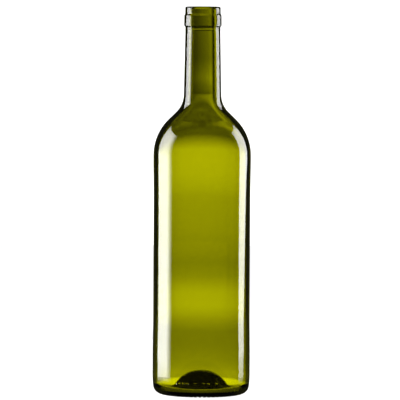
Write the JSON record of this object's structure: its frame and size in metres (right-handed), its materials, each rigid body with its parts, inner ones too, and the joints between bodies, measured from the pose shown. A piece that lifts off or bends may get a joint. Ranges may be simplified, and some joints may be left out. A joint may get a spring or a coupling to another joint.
{
  "type": "bordeaux wine bottle",
  "caption": "Empty round wine bottle in one piece of olive green glass: straight body, high shoulders, slim neck with a banded cork mouth, and a shallow dome under the base",
  "frame": {"origin": "on the bottle's axis, at the level it stands on", "axes": "+Z runs along the axis to the mouth; X and Y are alike, because the bottle is round"},
  "size_m": [0.0754, 0.0754, 0.3],
  "materials": {
    "green_glass": "clear olive green glass, fire polished"
  },
  "bodies": {
    "root": {"bottle": "green_glass"}
  },
  "joints": []
}
